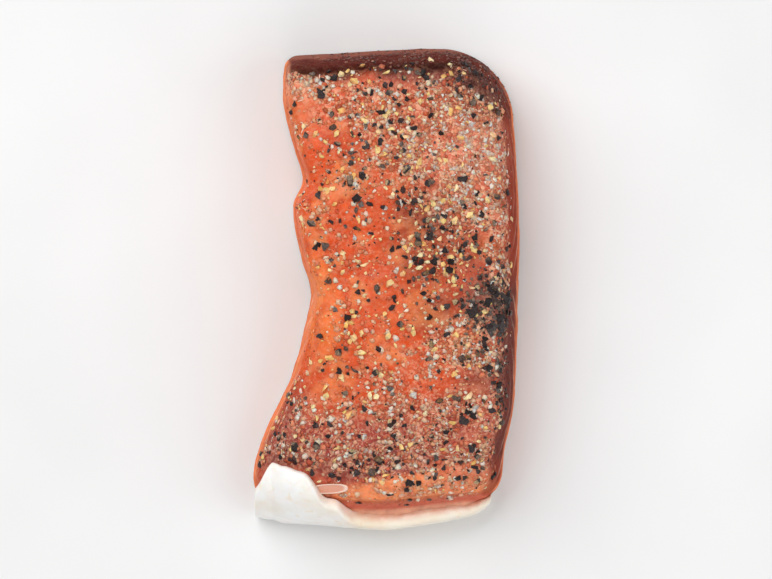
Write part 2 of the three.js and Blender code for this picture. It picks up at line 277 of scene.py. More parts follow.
def clumps_at(points):
    """An uneven share, mostly from 0.2 to 2, that gathers what is strewn into soft clumps."""
    lumps = 0.75 * value_noise(points, 5.2, 93) + 1.0 * value_noise(points, 2.3, 97)
    return np.clip(0.8 + lumps, 0.18, None)


def margin_at(x, y):
    """How far a place is inside the back and right margins, dark with marinade and painted shade."""
    return np.minimum(back_end(x) - y - 3, right_side(y) - x)


def uneven_margin(points):
    return margin_at(points[..., 0], points[..., 1]) + 1.4 * value_noise(points, 5, 99)


def granule_cover(points):
    """The share of the surface that pale granules cover, before it is broken into clumps."""
    x, y = points[..., 0], points[..., 1]
    corner = 1 - 0.75 * ease(1.3, 0.6, np.hypot((x - 28) / 10, (y - 50) / 9))
    cover = (EVEN_COVER + patch_sum(x, y, COVER_PATCHES)) * corner
    return cover * ease(0.8, 3, uneven_margin(points))


def grid_normals(points, closed=False):
    """Unit normals of a grid of points; `closed` joins its last column to its first."""
    wide = np.concatenate([points[:, -1:], points, points[:, :1]], 1) if closed else points
    along = np.gradient(wide, axis=0)
    across = np.gradient(wide, axis=1)
    normals = np.cross(across, along)
    if closed:
        normals = normals[:, 1:-1]
    return unit(normals)


def upright_share(x, normals):
    """How far the surface faces up, with some allowance for the gentle slope at the left."""
    return normals[..., 2] + 0.25 * ease(-12, -18, x)


def grid_faces(rows, columns, closed=False):
    """Quads between the points of a grid, counted row by row."""
    j, i = np.meshgrid(np.arange(rows - 1), np.arange(columns if closed else columns - 1), indexing="ij")
    onward = (i + 1) % columns
    corners = [j * columns + i, j * columns + onward, (j + 1) * columns + onward, (j + 1) * columns + i]
    return np.stack(corners, -1).reshape(-1, 4)


def tube_faces(rows, columns):
    """The faces of a closed tube whose rings are a grid's rows, with both its ends capped."""
    first = np.arange(columns)
    return [*grid_faces(rows, columns, closed=True)[:, ::-1], first, first[::-1] + (rows - 1) * columns]


def border_loop(rows, columns):
    """The points round the border of a grid, in turn."""
    index = np.arange(rows * columns).reshape(rows, columns)
    return np.concatenate([index[0, :-1], index[:-1, -1], index[-1, :0:-1], index[:0:-1, 0]])


# Pieces

def origin_shift():
    """From the driving sizes' own origin to the frame's, in millimetres."""
    along = np.linspace(THICKNESS[0][0], THICKNESS[-1][0], 2000)
    across = np.linspace(*BACK_MIDDLE, 2000)
    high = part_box("skin")[1]
    right = high.x / MM - right_side(along).max()
    back = high.y / MM - back_end(across).max()
    return np.array([right, back, 0.0])


SHIFT = origin_shift()


def put_piece(name, points, faces, material, slot, replaces=None, smooth=True, tone=None, **masks):
    """A mesh object from points in millimetres, riding on the one body. `tone` is a colour at each point,
    and the masks are a number at each."""
    mesh = bpy.data.meshes.new(name)
    placed = (np.asarray(points, float).reshape(-1, 3) + SHIFT) * MM
    mesh.from_pydata(placed.tolist(), [], [list(map(int, face)) for face in faces])
    if tone is not None:
        colour = np.column_stack([tone.reshape(-1, 3), np.ones(len(placed))]).astype(np.float32)
        mesh.attributes.new("tone", "FLOAT_COLOR", "POINT").data.foreach_set("color", colour.ravel())
    for key, values in masks.items():
        numbers = values.ravel().astype(np.float32)
        mesh.attributes.new(key, "FLOAT", "POINT").data.foreach_set("value", numbers)
    mesh.polygons.foreach_set("use_smooth", np.full(len(mesh.polygons), smooth))
    mesh.materials.append(material)
    mesh.update()
    piece = bpy.data.objects.new(name, mesh)
    bpy.context.scene.collection.objects.link(piece)
    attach(piece, "root")
    if replaces:
        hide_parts(replaces)


def tint(red, green, blue):
    """A colour given as it looks on a screen, 0 to 255, as linear light."""
    values = np.array([red, green, blue]) / 255
    return np.where(values <= 0.04045, values / 12.92, ((values + 0.055) / 1.055) ** 2.4)


class Shader:
    """One Principled material and the nodes that feed it. Texture sizes are in millimetres, colours are as
    they look on a screen, `soft` is a weight, depth and radius, and `coat` a weight and roughness."""

    def __init__(self, name, soft=(), coat=(), **settings):
        self.material = bpy.data.materials.new(name)
        self.material.use_nodes = True
        self.tree = self.material.node_tree
        self.main = self.tree.nodes["Principled BSDF"]
        self.place = self.tree.nodes.new("ShaderNodeTexCoord").outputs["Object"]
        settings |= zip(("Subsurface_Weight", "Subsurface_Scale", "Subsurface_Radius"), soft)
        settings |= zip(("Coat_Weight", "Coat_Roughness"), coat)
        for key, value in settings.items():
            self.main.inputs[key.replace("_", " ")].default_value = value

    def node(self, kind, inputs=(), **settings):
        made = self.tree.nodes.new("ShaderNode" + kind)
        for key, value in settings.items():
            setattr(made, key, value)
        for key, value in dict(inputs).items():
            self.feed(made.inputs[key], value)
        return made

    def feed(self, socket, value):
        if isinstance(value, bpy.types.NodeSocket):
            self.tree.links.new(value, socket)
        elif socket.type == "RGBA" and len(value) == 3:
            socket.default_value = (*value, 1)
        else:
            socket.default_value = value

    def set(self, key, value):
        self.feed(self.main.inputs[key], value)

    def noise(self, size, detail, distortion=0.0):
        inputs = {"Vector": self.place, "Scale": 1 / (size * MM), "Detail": detail, "Distortion": distortion}
        return self.node("TexNoise", inputs).outputs["Fac"]

    def cells(self, size, feature="F1"):
        inputs = {"Vector": self.place, "Scale": 1 / (size * MM)}
        return self.node("TexVoronoi", inputs, feature=feature).outputs["Distance"]

    def attribute(self, name, output="Fac"):
        return self.node("Attribute", attribute_name=name).outputs[output]

    def ramp(self, factor, *stops):
        """Colours or numbers from one to the next; each stop is (position, colour) or (position, number)."""
        made = self.node("ValToRGB", {"Fac": factor})
        elements = made.color_ramp.elements
        while len(elements) < len(stops):
            elements.new(0.5)
        for element, (position, value) in zip(elements, stops):
            element.position = position
            element.color = (*tint(*value), 1) if np.ndim(value) else (value, value, value, 1)
        return made.outputs["Color"]

    def mix(self, factor, first, second, blend="MIX"):
        made = self.node("Mix", data_type="RGBA", blend_type=blend)
        self.feed(made.inputs[0], factor)
        self.feed(made.inputs[6], first)
        self.feed(made.inputs[7], second)
        return made.outputs[2]

    def times(self, first, second):
        return self.mix(1.0, first, second, "MULTIPLY")

    def math(self, operation, *values):
        made = self.node("Math", operation=operation)
        for socket, value in zip(made.inputs, values):
            self.feed(socket, value)
        return made.outputs[0]

    def product(self, first, second):
        return self.math("MULTIPLY", first, second)

    def roughen(self, size, low, high):
        """Roughness that wanders between two values."""
        self.set("Roughness", self.ramp(self.noise(size, 2), (0.3, low), (0.7, high)))

    def grain(self, size, detail, depth, strength):
        """Fine unevenness of the surface."""
        self.set("Normal", self.bump(self.noise(size, detail), depth, strength))

    def bump(self, height, depth, strength, normal=None):
        inputs = {"Height": height, "Distance": depth * MM, "Strength": strength}
        if normal is not None:
            inputs["Normal"] = normal
        return self.node("Bump", inputs).outputs["Normal"]


# Flesh

# Soft zones of tone on the top: centre, half sizes, tone and strength, laid over each other in turn; a few of
# the dark ones are painted shade
CRUMBLY_TONE = (180, 74, 48)
SMOOTH_TONE = (211, 77, 26)
ZONES = [
    ((-19.5, 44), (5, 9), (208, 98, 47), 0.7),
    ((-8, 35), (5, 9), (182, 66, 32), 0.55),
    ((-7.5, 24), (4, 3.5), (150, 58, 32), 0.5),
    ((-19.5, 49.5), (5, 3.5), (220, 136, 102), 0.7),
    ((-15, -2), (5.5, 13), (238, 126, 62), 0.7),
    ((18, 32), (12, 18), (216, 110, 82), 0.75),
    ((22, 34), (7, 9), (232, 140, 116), 0.6),
    ((9, 12), (12, 13), (154, 62, 32), 0.8),
    ((-13, 16), (5, 4), (196, 72, 30), 0.6),
    ((11, 18), (11, 4.5), (132, 52, 32), 0.75),
    ((24, 11), (4, 4), (192, 90, 46), 0.6),
    ((12, -6), (7, 5), (140, 57, 34), 0.85),
    ((-3, 12), (7, 12), (210, 78, 34), 0.5),
    ((0, -20), (22, 9), (204, 74, 30), 0.8),
    ((-2, -4), (6, 5), (232, 116, 68), 0.45),
    ((25, -3), (7.5, 8), (120, 62, 54), 0.9),
    ((24, -19), (8, 6), (128, 56, 44), 0.8),
    ((13, -30), (14, 8), (156, 62, 50), 0.75),
    ((-6, -36), (24, 7), (154, 56, 50), 0.85),
    ((-25, -31), (8, 14), (140, 56, 48), 0.75),
    ((24, -38), (7, 6), (186, 84, 56), 0.6),
    # painted shade in the groove across the lower end
    ((-4, -40), (18, 3), (112, 44, 40), 0.75),
    ((-21, -38.5), (6, 3), (92, 36, 33), 0.65),
    # partly dark marinade, partly painted shade, along the back end and in the far right corner
    ((13, 51.5), (17, 3.5), (116, 50, 42), 0.6),
    ((27, 50), (14, 10), (58, 24, 22), 0.92),
    ((8, -46.4), (26, 3.4), (244, 138, 82), 0.95),
    ((17, -43.5), (9, 3.5), (222, 124, 84), 0.6),
]
SIDE_TONE = (230, 122, 78)
SEPTUM_TONE = (250, 214, 190)
SEPTUM_SPACING = 5.4


def wall_distances(radius, height, step):
    """Distances from an edge that are evenly spaced along the curve from the top down to the edge."""
    distance = radius * np.linspace(0, 1, 3000) ** 3
    run = np.hypot(np.diff(distance), np.diff(height * roll_off(distance, radius)))
    run = np.concatenate([[0], np.cumsum(run)])
    count = round(run[-1] / step)
    return np.interp(np.linspace(0, run[-1], count + 1), run, distance)


def spread(near, far, room, step):
    """Places across the outline as (inset from the near side, share, inset from the far side)."""
    middle = np.linspace(0, 1, round(room / step) + 1)[1:-1]
    near_inset = np.concatenate([near, np.full(len(middle) + len(far), near[-1])])
    far_inset = np.concatenate([np.full(len(near) + len(middle), far[-1]), far[::-1]])
    share = np.concatenate([np.zeros(len(near)), middle, np.ones(len(far))])
    return near_inset, share, far_inset


def outline_grid(step, height):
    """A grid of plan points over the outline, close where the surface is steep."""
    walls = {key: wall_distances(radius, height, step) for key, radius in ROLL.items()}
    left = wall_distances(ROLL["right"], height, step) / ROLL["right"]
    columns = spread(left, walls["right"], 48, step)
    rows = spread(walls["belly"], walls["back"], LENGTH - ROLL["belly"] - ROLL["back"], step)
    a, t, b = (values[None, :] for values in columns)
    c, s, e = (values[:, None] for values in rows)
    x = np.zeros((rows[0].size, columns[0].size))
    for _ in range(10):
        y = (belly_end(x) + c) * (1 - s) + (back_end(x) - e) * s
        x = (left_side(y) + a * curve_at(ROLL_LEFT, y)) * (1 - t) + (right_side(y) - b) * t
    return x, y


def septum_lines(points):
    """1 on the pale sheets between the flakes of muscle, which cross the cut sides as nested arcs; and
    how far each place is from the nearest sheet, 1 being midway."""
    x, y, z = np.moveaxis(points, -1, 0)
    wobble = 1.5 * fractal(points, 15, 41) + 0.35 * fractal(points, 3.2, 43)
    upper = np.hypot(y - 27, 1.45 * (z - 24))
    lower = np.hypot(y + 25, 1.35 * (z - 20))
    phase = (np.minimum(upper, lower) + 0.7 * x + wobble) / SEPTUM_SPACING
    off = np.abs(phase - np.floor(phase) - 0.5) * SEPTUM_SPACING
    width = 0.3 + 0.14 * value_noise(points, 9, 47)
    strength = np.clip(0.75 + 0.5 * fractal(points, 6, 48), 0.2, 1)
    return strength * peak(off, width), off / SEPTUM_SPACING * 2


def flesh_tones(points, wall, lines):
    """Low, slow changes of the flesh's colour, as linear light, with painted shade along the back end, the
    right edge, the far corner and the creases.
    """
    x, y, z = np.moveaxis(points, -1, 0)
    share_up = (z - FLESH_BASE) / (curve_at(THICKNESS, y) - FLESH_BASE)
    warped_x = x + 2.2 * fractal(points, 8, 51)
    warped_y = y + 2.2 * fractal(points, 8, 57)
    tone = np.zeros(points.shape) + tint(*CRUMBLY_TONE)

    def lay(colour, weight):
        nonlocal tone
        weight = np.clip(weight, 0, 1)[..., None]
        tone = tone * (1 - weight) + tint(*colour) * weight

    smooth = ragged_band(points, 4, 24)
    lay(SMOOTH_TONE, smooth)
    for (cx, cy), (rx, ry), colour, strength in ZONES:
        reach = np.hypot((warped_x - cx) / rx, (warped_y - cy) / ry)
        lay(colour, strength * ease(1.25, 0.55, reach))
    from_left, from_right = x - left_side(y), right_side(y) - x
    from_back, from_belly = back_end(x) - y, y - belly_end(x)
    top = smooth * ease(0.7, 0.85, share_up)
    lay((198, 66, 26), 0.55 * top * ease(0.05, 0.45, fractal(points, 7, 63)))
    lay((236, 142, 84), 0.5 * top * ease(0.05, 0.4, fractal(points, 4.5, 69)))
    lay((112, 46, 43), 0.5 * ease(-24, -30, y) * ease(0.05, 0.4, fractal(points, 3.4, 66)))
    # Partly dark marinade, partly painted shade: the back slope.
    lay((44, 17, 15), 0.95 * ease(8, 4.5, from_back + 1.6 * fractal(points, 5, 61)))
    # Partly dark wet marinade, partly painted shade: the right margin, mauve in its lower half.
    lay((122, 46, 34), 0.75 * ease(4.2, 2, from_right + 1.2 * fractal(points, 5, 67)))
    lay((92, 48, 44), 0.8 * ease(5, 2, from_right + 1.6 * fractal(points, 5, 68)) * ease(8, -2, y)
        * ease(-44, -36, y))
    lay((232, 146, 116), 0.5 * peak(from_left - 1.0, 0.5) * ease(-30, -8, y))
    # The right wall takes the side tone only low down, so the painted shade of the right margin stays on its
    # upper part.
    left_wall, right_wall = ease(0.62, 0.42, share_up), 0.9 * ease(0.5, 0.22, share_up)
    lay(SIDE_TONE, wall * np.where(x < 0, left_wall, right_wall))
    # Partly dark marinade, partly painted shade, on the back slope.
    lay((92, 36, 30), 0.9 * ease(4.5, 2.5, from_back) * (1 - wall))
    lay((142, 80, 66), 0.8 * ease(1.7, 0.8, from_back + 0.8 * fractal(points, 3.5, 62)) * (1 - wall))
    lay((200, 100, 78), ease(3.4, 2.2, from_belly))
    # Painted shade in the crease near the belly end.
    lay((158, 66, 48), 0.5 * peak(from_belly - 2.9, 0.5))
    lay((226, 164, 136), 0.8 * ease(1.6, 0.5, from_belly) * ease(-12, -6, x))
    lay((150, 90, 66), 0.6 * wall * ease(8, 3, z) * ease(16, 6, np.abs(y - 4)))
    seen = 0.03 + 0.62 * wall * ease(0.7, 0.4, share_up)
    lay(SEPTUM_TONE, lines * seen * ease(1.5, 3, from_belly))
    return tone


def flesh_surface():
    """The flesh's grid of points with its relief, and what its material needs at each point."""
    x, y = outline_grid(FLESH_STEP, 21)
    z = top_at(x, y)
    rim = np.zeros(z.shape, bool)
    rim[0, :] = rim[-1, :] = rim[:, 0] = rim[:, -1] = True
    z[rim] = FLESH_BASE
    points = np.stack([x, y, z], -1)
    normals = grid_normals(points)
    wall = ease(0.45, 0.1, normals[..., 2]) * ease(0.55, 0.85, np.abs(normals[..., 0]))
    crumb = granule_cover(points) * (0.5 + 0.5 * clumps_at(points))
    crumb = np.clip(crumb, 0, 1) * ease(0.3, 0.7, upright_share(x, normals))
    lines, belly = septum_lines(points)
    from_belly = y - belly_end(x)
    seam = peak(from_belly - 0.6, 0.4) * ease(-10, -6, x) * ease(24, 20, x)
    relief = (0.22 * fractal(points, 5, 11) + 0.24 * crumb * fractal(points, 1.9, 17)
              + 0.16 * crumb * fractal(points, 0.95, 23, 2) + 0.1 * wall * fractal(points, 2.4, 29)
              + wall * ease(21, 17, z) * (0.3 * np.sqrt(np.clip(belly, 0, 1)) - 0.15)
              - 0.28 * peak(from_belly - 2.9, 0.45) + 1.2 * seam)
    relief[rim] = 0
    points = points + normals * relief[..., None]
    points[..., 2] = np.where(rim, FLESH_BASE, np.maximum(points[..., 2], FLESH_BASE + 0.05))
    tones = flesh_tones(points, wall, lines)
    dull = np.maximum(ease(0.75, 0.3, normals[..., 2]), ease(4, 1.5, margin_at(x, y)))
    return points, {"tone": tones, "crumb": crumb, "dull": dull}


def flesh_material():
    s = Shader("salmon_flesh", (0.3, 0.002, (1.0, 0.3, 0.14)), IOR=1.38, Coat_Roughness=0.14, Coat_IOR=1.33)
    tone = s.attribute("tone", "Color")
    crumb = s.attribute("crumb")
    dull = s.attribute("dull")
    mottle = s.ramp(s.noise(1.7, 5, 0.5), (0.28, 0.66), (0.5, 1.0), (0.74, 1.25))
    colour = s.mix(s.ramp(crumb, (0.0, 0.45), (1.0, 0.8)), tone, s.times(tone, mottle))
    cloud = s.ramp(s.noise(3.4, 4, 0.8), (0.48, 0.0), (0.75, 1.0))
    colour = s.mix(cloud, colour, s.times(colour, (1.13, 1.2, 1.18)))
    deep = s.product(s.ramp(s.noise(1.3, 3, 0.8), (0.55, 0.0), (0.68, 1.0)), crumb)
    colour = s.mix(s.product(deep, 0.45), colour, tint(146, 42, 24))
    haze = s.ramp(s.noise(2.6, 4, 0.7), (0.4, 0.0), (0.58, 1.0))
    haze = s.product(haze, s.ramp(crumb, (0.0, 0.0), (0.5, 1.0)))
    colour = s.mix(s.product(haze, 0.6), colour, tint(229, 143, 110))
    fleck = s.ramp(s.noise(0.9, 4, 0.6), (0.48, 0.0), (0.56, 1.0))
    fleck = s.product(fleck, s.ramp(crumb, (0.0, 0.03), (0.5, 0.8)))
    colour = s.mix(fleck, colour, tint(240, 182, 148))
    dots = s.ramp(s.cells(1.7), (0.09, 0.5), (0.17, 0.0))
    dots = s.product(dots, s.ramp(dull, (0.0, 1.0), (0.6, 0.0)))
    s.set("Base Color", s.mix(dots, colour, tint(242, 190, 146)))
    s.set("Coat Weight", s.ramp(dull, (0.0, 0.15), (1.0, 0.0)))
    s.set("Specular IOR Level", s.ramp(dull, (0.0, 0.3), (1.0, 0.06)))
    wet = s.ramp(s.noise(2.2, 3), (0.3, 0.28), (0.7, 0.5))
    s.set("Roughness", s.mix(dull, wet, (0.75, 0.75, 0.75)))
    grain = s.bump(s.noise(0.6, 3), 0.14, 0.8)
    s.set("Normal", s.bump(s.cells(0.75), 0.1, 0.5, grain))
    return s.material


def make_flesh():
    points, masks = flesh_surface()
    size = points.shape[:2]
    faces = [*grid_faces(*size), border_loop(*size)[::-1]]
    put_piece("salmon_flesh", points, faces, flesh_material(), "flesh", "flesh", **masks)
    return points


# Skin and white fat

SCALE_WIDTH, SCALE_ROW = 2.1, 1.5


def outline_start(x):
    """Where the outline's belly end lies at one x, its rounded corners included."""
    y = float(belly_end(x))
    while x < left_side(y) or x > right_side(y):
        y += 0.02
    return y


def end_profile(x, reach, steps):
    """Points up the belly end and over the top at one x, with outward normals in the YZ plane."""
    start = outline_start(x)
    y = start + LIP_SPAN * np.linspace(0, 1, 401)[1:] ** 3
    line = np.vstack([[start, FLESH_BASE], np.column_stack([y, top_at(x, y)])])
    run = np.concatenate([[0], np.cumsum(np.hypot(*np.diff(line, axis=0).T))])

    def at(length):
        return np.column_stack([np.interp(length, run, line[:, c]) for c in (0, 1)])

    lengths = reach * np.linspace(0, 1, steps + 1)
    rise = unit(at(lengths + 1.2) - at(np.maximum(lengths - 1.2, 0)))
    return at(lengths), np.column_stack([-rise[:, 1], rise[:, 0]])


def lip_section(x, more):
    """One closed section of the lip, as (y, z) rows; it reaches `more` than its solid does."""
    thickness = float(curve_at(LIP_THICKNESS, x))
    carried = max(x, FOLD_SIDE)
    kept = 1 - FOLD_DROOP * (x - carried) ** 2
    line, normal = end_profile(carried, float(curve_at(LIP_REACH, x)) + more, LIP_STEPS)

    def offset(by):
        moved = line + normal * by
        moved[:, 1] = FLESH_BASE + (moved[:, 1] - FLESH_BASE) * kept
        return moved

    inner, outer = offset(np.linspace(LIP_GAP, 0.05, LIP_STEPS + 1)[:, None]), offset(LIP_GAP + thickness)
    middle, arm = (inner[-1] + outer[-1]) / 2, (outer[-1] - inner[-1]) / 2
    onward = np.array([normal[-1, 1], -normal[-1, 0]]) * thickness * 0.45
    angles = np.linspace(0, math.pi, LIP_TURNS + 2)[1:-1]
    cap = middle - arm * np.cos(angles)[:, None] + onward * np.sin(angles)[:, None]
    foot = outline_start(carried) - LIP_GAP
    root = outline_start(x) + LIP_ROOT_LENGTH
    start = [[root, 0.45], [root, LIP_ROOT_HEIGHT], [foot, LIP_ROOT_HEIGHT]]
    end = [[foot - thickness * share, height] for share, height in LIP_FOOT]
    return np.vstack([start, inner, cap, outer[::-1], end])


def fat_material():
    s = Shader("belly_fat", (0.45, 0.002, (1.0, 0.72, 0.55)), (0.35, 0.12), IOR=1.42)
    base = s.ramp(s.noise(9, 3), (0.3, (242, 235, 224)), (0.6, (251, 249, 247)))
    stain = s.ramp(s.noise(3.2, 3, 0.6), (0.58, 0.0), (0.76, 1.0))
    base = s.mix(s.product(stain, 0.5), base, tint(238, 208, 152))
    blush = s.ramp(s.noise(5, 2, 1.0), (0.55, 0.0), (0.8, 1.0))
    base = s.mix(s.product(blush, 0.2), base, tint(236, 196, 176))
    base = s.mix(s.attribute("warm"), base, s.times(base, (0.98, 0.9, 0.78)))
    edge = s.product(s.attribute("edge"), s.ramp(s.noise(2.6, 3), (0.3, 0.6), (0.65, 1.0)))
    s.set("Base Color", s.mix(edge, base, tint(222, 158, 128)))
    s.roughen(1.8, 0.3, 0.46)
    s.grain(1.1, 4, 0.12, 0.6)
    return s.material


def make_lip():
    """The upturned lip and the fold, with `edge` highest at the strip's upper edge and `warm` along it."""
    stations = np.linspace(LIP_FROM, LIP_TO, LIP_STATIONS)
    line = np.column_stack([stations, np.zeros((LIP_STATIONS, 2))])
    wander = 0.4 * value_noise(line, 3.1, 74) + 0.22 * value_noise(line, 1.2, 75)
    points = np.array([[(x, y, z) for y, z in lip_section(x, more)] for x, more in zip(stations, wander)])
    normals = -grid_normals(points, closed=True)
    run = np.cumsum(np.linalg.norm(np.diff(points, axis=1, prepend=points[:, :1]), axis=2), axis=1)
    top = run[:, LIP_CAP:LIP_CAP + 1]
    warm = ease(-14, -6, points[..., 0])
    edge = 0.9 * peak(run - top + 0.8, 1.1) * ease(-9, -5, points[..., 0])
    edge = np.maximum(edge, 0.25 * peak(run - top, 0.8))
    outer = ease(0.3, 1.2, points[..., 2])
    relief = 0.22 * fractal(points, 6, 71) + 0.09 * fractal(points, 1.7, 77)
    points = points + normals * (relief * outer)[..., None]
    put_piece("belly_fat_lip", points, tube_faces(*points.shape[:2]), fat_material(), "skin", "skin",
              edge=edge, warm=warm)
    return points[:, LIP_CAP - 4:LIP_CAP + 40][:, ::-1]


def tongue_material():
    s = Shader("fat_tongue", (0.5, 0.001, (1.0, 0.6, 0.45)), (0.4, 0.1), IOR=1.4)
    s.set("Base Color", s.mix(s.attribute("rim"), tint(226, 158, 132), tint(242, 210, 194)))
    s.roughen(1.0, 0.25, 0.4)
    return s.material


def make_tongue():
    """A small see-through flap that reaches from the fold over the end band, with a thicker white rim."""
    (cx, cy), (long, wide), turn = TONGUE
    share = np.linspace(0, 1, 24)[1:, None]
    angle = np.linspace(0, math.tau, 61)[:-1]

    def squared(values):
        return np.sign(values) * np.abs(values) ** 0.75

    u = share * squared(np.cos(angle)) * long
    v = share * squared(np.sin(angle)) * wide
    x = cx + u * math.cos(turn) - v * math.sin(turn)
    y = cy + u * math.sin(turn) + v * math.cos(turn)
    rim = peak(share - 0.86, 0.11) * np.ones_like(angle)
    lift = np.where(share < 0.999, 0.34 + 0.26 * rim, -0.2)
    points = np.stack([x, y, top_at(x, y) + lift], -1)
    put_piece("fat_tongue", points, tube_faces(*points.shape[:2]), tongue_material(), "skin", "skin", rim=rim)


def skin_material():
    s = Shader("fish_skin", (0.1, 0.001), (0.5, 0.15), IOR=1.42)
    under = s.attribute("under")
    silver = s.ramp(s.attribute("back"), (0.0, (226, 222, 214)), (0.45, (176, 178, 178)),
                    (0.85, (92, 100, 106)), (1.0, (58, 66, 72)))
    lit = s.ramp(s.cells(SCALE_WIDTH, "DISTANCE_TO_EDGE"), (0.02, 0.7), (0.2, 1.08))
    silver = s.mix(0.6, silver, s.times(silver, lit))
    fat = s.ramp(s.noise(2.5, 3), (0.3, (206, 168, 146)), (0.7, (236, 214, 196)))
    s.set("Base Color", s.mix(under, fat, silver))
    s.set("Metallic", s.product(under, 0.35))
    s.roughen(1.5, 0.28, 0.42)
    s.set("Normal", s.bump(s.cells(SCALE_WIDTH), 0.12, 0.6))
    return s.material


def make_skin():
    """The skin under the flesh: a thin slab with a rounded rim and rows of scales below."""
    x, y = outline_grid(SKIN_STEP, 4)
    rows, columns = x.shape
    loop = border_loop(rows, columns)
    ring = np.stack([x, y], -1).reshape(-1, 2)[loop]
    along = np.roll(ring, -1, 0) - np.roll(ring, 1, 0)
    inward = unit(np.column_stack([-along[:, 1], along[:, 0]]))
    edge = np.minimum(np.minimum(x - left_side(y), right_side(y) - x),
                      np.minimum(back_end(x) - y, y - belly_end(x)))
    row, step = np.divmod(y / SCALE_ROW, 1)
    slant = (x / 2.2 + 0.5 * row) % 1 - 0.5
    scale = np.clip(step - 2 * slant ** 2, 0, 1)
    lift = 0.09 * scale * ease(1, 2.5, edge) + 0.35 * ease(1.1, 0, edge) ** 2
    under = np.stack([x, y, lift], -1).reshape(-1, 3)
    rings = []
    for inset, height in [(0.0, 0.75), (0.0, 1.2), (0.12, 1.6), (0.5, SKIN_THICKNESS)]:
        moved = ring + inward * inset
        rings.append(np.column_stack([moved, np.full(len(loop), height)]))
    points = np.vstack([under, *rings])
    faces = list(grid_faces(rows, columns)[:, ::-1])
    lower = loop
    for k in range(len(rings)):
        upper = rows * columns + k * len(loop) + np.arange(len(loop))
        faces += list(np.stack([lower, np.roll(lower, -1), np.roll(upper, -1), upper], -1))
        lower = upper
    faces.append(lower)
    share = ease(-45, 60, points[:, 1] + 4 * fractal(points, 12, 81))
    down = ease(0.9, 0.6, points[:, 2])
    put_piece("fish_skin", points, faces, skin_material(), "skin", "skin", back=share, under=down)


# Grains

def seeded_series(seed):
    """The repeatable series of numbers that the solids' grains are placed by."""
    state = seed
    while True:
        state = (state * 16807) % 2147483647
        yield state / 2147483647


def solid_grain_places():
    """Plan points of the grains that the solids carry, largest first."""
    draws = seeded_series(GRAIN_SEED)
    placed = []
    while len(placed) < SOLID_GRAINS:
        u = next(draws)
        v = next(draws)
        x, y = (float(value) for value in plan_point(u, v))
        clear = (x - left_side(y) > GRAIN_EDGE and right_side(y) - x > GRAIN_EDGE
                 and back_end(x) - y > GRAIN_EDGE and y - belly_end(x) > 2 * GRAIN_EDGE
                 and not (x < FOLD_COVER[0] and y < FOLD_COVER[1]))
        crumbly, smooth = GRAIN_SPACING
        spacing = crumbly + (smooth - crumbly) * float(smooth_band(x, y))
        if clear and all(math.hypot(px - x, py - y) > spacing for px, py in placed):
            placed.append((x, y))
    return np.array(placed)


class Ground:
    """The flesh's surface as something that grains are laid on."""

    def __init__(self, points):
        rows, columns = points.shape[:2]
        self.points = points.reshape(-1, 3)
        self.quads = grid_faces(rows, columns)
        corners = self.points[self.quads]
        self.centres = corners.mean(1)
        cross = np.cross(corners[:, 2] - corners[:, 0], corners[:, 3] - corners[:, 1])
        self.areas = np.linalg.norm(cross, axis=1) / 2
        self.normals = cross / np.maximum(2 * self.areas[:, None], 1e-12)
        self.tree = BVHTree.FromPolygons(self.points.tolist(), self.quads.tolist())

    def below(self, x, y):
        """The point of the surface under a plan point, and its normal."""
        place, normal, _, _ = self.tree.ray_cast(Vector((x, y, 60)), Vector((0, 0, -1)))
        return np.array(place), np.array(normal)

    def place_on(self, face, a, b):
        """Points at shares a and b across each chosen quad."""
        p, q, r, s = (self.points[self.quads[face][..., k]] for k in range(4))
        return (p * (1 - a) + q * a) * (1 - b) + (s * (1 - a) + r * a) * b

    def scatter(self, count, density, rng, spacing=0.0, taken=()):
        """Random places where density is high, at least `spacing` apart and clear of those taken."""
        order = np.cumsum(self.areas * np.maximum(density(self.centres, self.normals), 0))
        tries = count * 8 if spacing else count
        face = np.minimum(np.searchsorted(order, rng.random(tries) * order[-1]), len(order) - 1)
        places = self.place_on(face, rng.random((tries, 1)), rng.random((tries, 1)))
        if not spacing:
            return places, self.normals[face]
        cells = {}

        def cell_of(place):
            return tuple(np.floor(place / spacing).astype(int))

        for place in taken:
            cells.setdefault(cell_of(place), []).append(place)
        chosen = []
        for k, place in enumerate(places):
            i, j, h = cell_of(place)
            near = [other for di in (-1, 0, 1) for dj in (-1, 0, 1) for dh in (-1, 0, 1)
                    for other in cells.get((i + di, j + dj, h + dh), ())]
            if len(chosen) == count:
                break
            if all(np.sum((other - place) ** 2) >= spacing ** 2 for other in near):
                cells.setdefault((i, j, h), []).append(place)
                chosen.append(k)
        return places[chosen], self.normals[face[chosen]]


def hull_of(points):
    """The convex hull of a few points, as points and triangles."""
    body = bmesh.new()
    for point in points:
        body.verts.new(Vector(point))
    bmesh.ops.convex_hull(body, input=list(body.verts))
    loose = [v for v in body.verts if not v.link_faces]
    bmesh.ops.delete(body, geom=loose, context="VERTS")
    bmesh.ops.triangulate(body, faces=list(body.faces))
    bmesh.ops.recalc_face_normals(body, faces=list(body.faces))
    body.verts.index_update()
    corners = np.array([v.co[:] for v in body.verts])
    faces = np.array([[v.index for v in face.verts] for face in body.faces])
    body.free()
    return corners, faces


def ball_points(rng, count, low, high):
    """Random points at random distances from the middle, spread over all directions."""
    return unit(rng.normal(size=(count, 3))) * rng.uniform(low, high, (count, 1))


